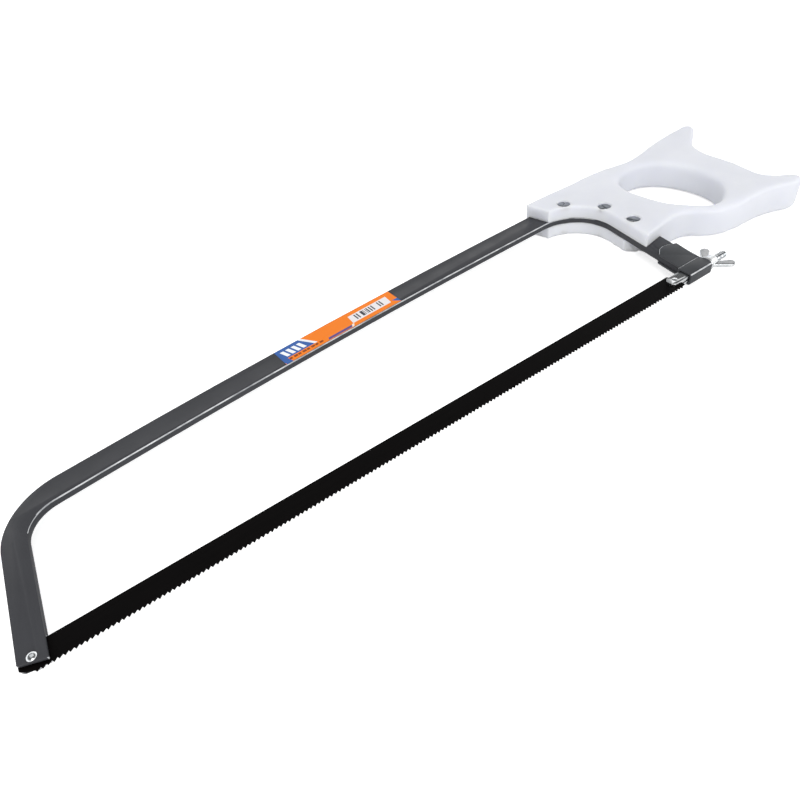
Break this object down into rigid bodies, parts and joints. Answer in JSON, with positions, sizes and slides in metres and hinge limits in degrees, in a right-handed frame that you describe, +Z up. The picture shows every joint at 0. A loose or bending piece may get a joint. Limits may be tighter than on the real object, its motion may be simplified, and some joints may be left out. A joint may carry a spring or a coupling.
{
  "type": "bow hacksaw",
  "caption": "Bow hacksaw with a wide D handle, a flat-bar frame, and a long blade tightened by a slotted draw bar and wing nut.",
  "frame": {"origin": "on the handle's lower cheek, the flat face the saw rests on, between the screws and the hand hole", "axes": "+X from the toe to the handle, +Y from the blade to the back of the bow, +Z up out of the saw's plane"},
  "size_m": [0.6659, 0.1682, 0.026],
  "materials": {
    "bow_paint": "satin dark grey paint on flat bar, rubbed bright on its edges",
    "sleeve_paint": "satin dark grey paint on folded sheet steel",
    "handle_plastic": "milky white moulded polyethylene, soft sheen",
    "dark_screw": "dark nickel binding screws",
    "label_film": "printed plastic film, orange with a blue end",
    "blade_black": "black lacquered blade steel",
    "bright_zinc": "bright zinc plate",
    "wing_nut_zinc": "bright zinc plate on a cast wing nut"
  },
  "bodies": {
    "root": {"bow_frame": "bow_paint", "handle": "handle_plastic", "handle_screw_1": "dark_screw", "handle_screw_2": "dark_screw", "handle_screw_3": "dark_screw", "handle_nut_1": "dark_screw", "handle_nut_2": "dark_screw", "handle_nut_3": "dark_screw", "label": "label_film", "blade": "blade_black", "front_pin": "bright_zinc", "front_pin_nut": "bright_zinc", "tension_sleeve": "sleeve_paint", "thrust_washer": "bright_zinc"},
    "draw_bar": {"draw_bar": "bright_zinc", "rear_blade_pin": "bright_zinc"},
    "wing_nut": {"wing_nut": "wing_nut_zinc"}
  },
  "joints": [
    {"name": "wing_nut_turn", "type": "hinge", "parent": "root", "child": "wing_nut", "pos_m": [-0.0078, -0.09486, 0.013], "axis": [1, 0, 0], "range_deg": [0, 1440]},
    {"name": "draw_bar_slide", "type": "slide", "parent": "root", "child": "draw_bar", "axis": [1, 0, 0], "range_m": [-0.00401, 0]}
  ],
  "couplings": [
    {"joint": "draw_bar_slide", "follows": "wing_nut_turn", "m_per_rad": -0.00015915}
  ]
}
